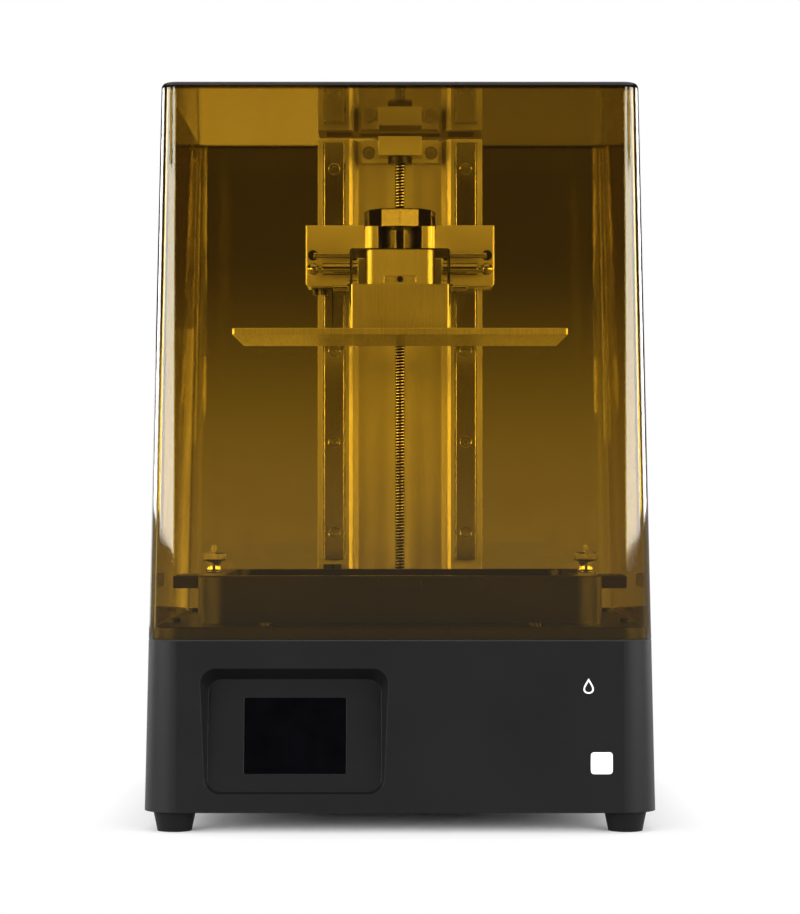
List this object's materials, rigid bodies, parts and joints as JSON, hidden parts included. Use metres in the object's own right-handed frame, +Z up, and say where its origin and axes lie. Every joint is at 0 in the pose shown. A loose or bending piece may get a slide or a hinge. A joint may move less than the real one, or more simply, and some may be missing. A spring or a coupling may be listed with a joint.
{
  "type": "resin printer",
  "caption": "Desktop resin printer with a lift-off amber hood, twin-rail tower, forked arm with clamped build platform, resin vat and tilted touchscreen.",
  "frame": {"origin": "on the floor under the middle of the machine", "axes": "+Z up, front with the touchscreen towards -Y, +X to the right seen from the front"},
  "size_m": [0.301, 0.301, 0.44],
  "materials": {
    "case_plastic": "fine moulded texture, charcoal",
    "deck_coat": "satin black coating",
    "amber_acrylic": "clear amber, polished",
    "seal_foam": "soft closed foam",
    "foot_rubber": "moulded rubber",
    "screen_glass": "gloss black glass",
    "mask_glass": "dark gloss glass",
    "black_metal": "black anodised, fine blasted",
    "bead_blasted": "bead blasted, clear anodised",
    "brushed_aluminium": "brushed",
    "polished_aluminium": "polished, turned",
    "ground_steel": "ground bright",
    "turned_steel": "turned thread",
    "black_steel": "black oxide",
    "sheet_steel": "zinc plated sheet",
    "nut_brass": "turned brass",
    "clear_film": "clear release film",
    "clear_lens": "clear moulded lens",
    "board_green": "solder mask",
    "black_plastic": "moulded black",
    "cable_sheath": "smooth flexible sheath"
  },
  "bodies": {
    "base": {"base_housing": "case_plastic", "base_deck": "deck_coat", "case_screws": "black_steel", "bottom_plate": "sheet_steel", "rubber_feet": "foot_rubber", "touchscreen_glass": "screen_glass", "touchscreen_module": "black_plastic", "mask_panel": "mask_glass", "panel_frame": "black_metal", "light_shroud": "black_metal", "lamp_board": "board_green", "lens_sheet": "clear_lens", "heat_sink": "bead_blasted", "chassis_plate": "sheet_steel", "inner_posts": "ground_steel", "z_column": "bead_blasted", "chassis_screws": "black_steel", "z_motor": "black_metal", "tower_screws": "ground_steel", "rail_left": "ground_steel", "rail_right": "ground_steel", "bearing_block": "bead_blasted", "top_bearing": "black_steel", "home_sensor": "black_plastic", "vat_inserts": "nut_brass", "power_supply": "sheet_steel", "mainboard": "board_green", "mains_inlet": "black_plastic", "data_sockets": "sheet_steel", "switch_body": "black_plastic", "fan_frame": "black_plastic", "inner_cables": "cable_sheath"},
    "hood": {"hood_cover": "amber_acrylic", "hood_seal": "seal_foam"},
    "screw_drive": {"lead_screw": "turned_steel", "shaft_coupler": "polished_aluminium"},
    "carriage": {"carriage_plate": "bead_blasted", "carriage_screws": "black_steel", "guide_blocks": "ground_steel", "carriage_arm": "polished_aluminium", "arm_bars": "polished_aluminium", "nut_bracket": "bead_blasted", "lead_nut": "nut_brass", "home_flag": "black_steel"},
    "platform": {"build_plate": "brushed_aluminium", "platform_block": "brushed_aluminium", "platform_post": "polished_aluminium", "platform_saddle": "black_metal", "clamp_stud": "ground_steel", "post_screws": "black_steel"},
    "knob": {"clamp_knob": "polished_aluminium"},
    "vat": {"vat_frame": "black_metal", "vat_film": "clear_film", "film_ring": "bead_blasted", "film_screws": "ground_steel"},
    "left_thumb_screw": {"thumb_screw_left": "polished_aluminium"},
    "right_thumb_screw": {"thumb_screw_right": "polished_aluminium"},
    "rocker": {"power_rocker": "black_plastic"},
    "fan": {"fan_wheel": "black_plastic"}
  },
  "joints": [
    {"name": "hood_lift", "type": "slide", "parent": "base", "child": "hood", "axis": [0, 0, 1], "range_m": [0, 0.34]},
    {"name": "z_travel", "type": "slide", "parent": "base", "child": "carriage", "axis": [0, 0, 1], "range_m": [-0.1715, 0.046]},
    {"name": "lead_screw_spin", "type": "hinge", "parent": "base", "child": "screw_drive", "pos_m": [0, 0.066, 0.25], "axis": [0, 0, 1], "range_deg": [-8285, 30880]},
    {"name": "platform_slide", "type": "slide", "parent": "carriage", "child": "platform", "axis": [0, -1, 0], "range_m": [0, 0.045]},
    {"name": "clamp_knob_turn", "type": "hinge", "parent": "platform", "child": "knob", "pos_m": [0, -0.028, 0.369], "axis": [0, 0, 1], "range_deg": [0, 720]},
    {"name": "vat_lift", "type": "slide", "parent": "base", "child": "vat", "axis": [0, 0, 1], "range_m": [0, 0.1]},
    {"name": "thumb_screw_left_turn", "type": "hinge", "parent": "vat", "child": "left_thumb_screw", "pos_m": [-0.116, -0.036, 0.15], "axis": [0, 0, 1], "range_deg": [0, 2340]},
    {"name": "thumb_screw_right_turn", "type": "hinge", "parent": "vat", "child": "right_thumb_screw", "pos_m": [0.116, -0.036, 0.15], "axis": [0, 0, 1], "range_deg": [0, 2340]},
    {"name": "power_rocker_tip", "type": "hinge", "parent": "base", "child": "rocker", "pos_m": [-0.078, 0.1464, 0.072], "axis": [1, 0, 0], "range_deg": [-18, 0]},
    {"name": "fan_spin", "type": "hinge", "parent": "base", "child": "fan", "pos_m": [0, 0.138, 0.06], "axis": [0, 1, 0], "continuous": true}
  ],
  "couplings": [
    {"joint": "lead_screw_spin", "follows": "z_travel", "rad_per_m": -3141.6}
  ]
}
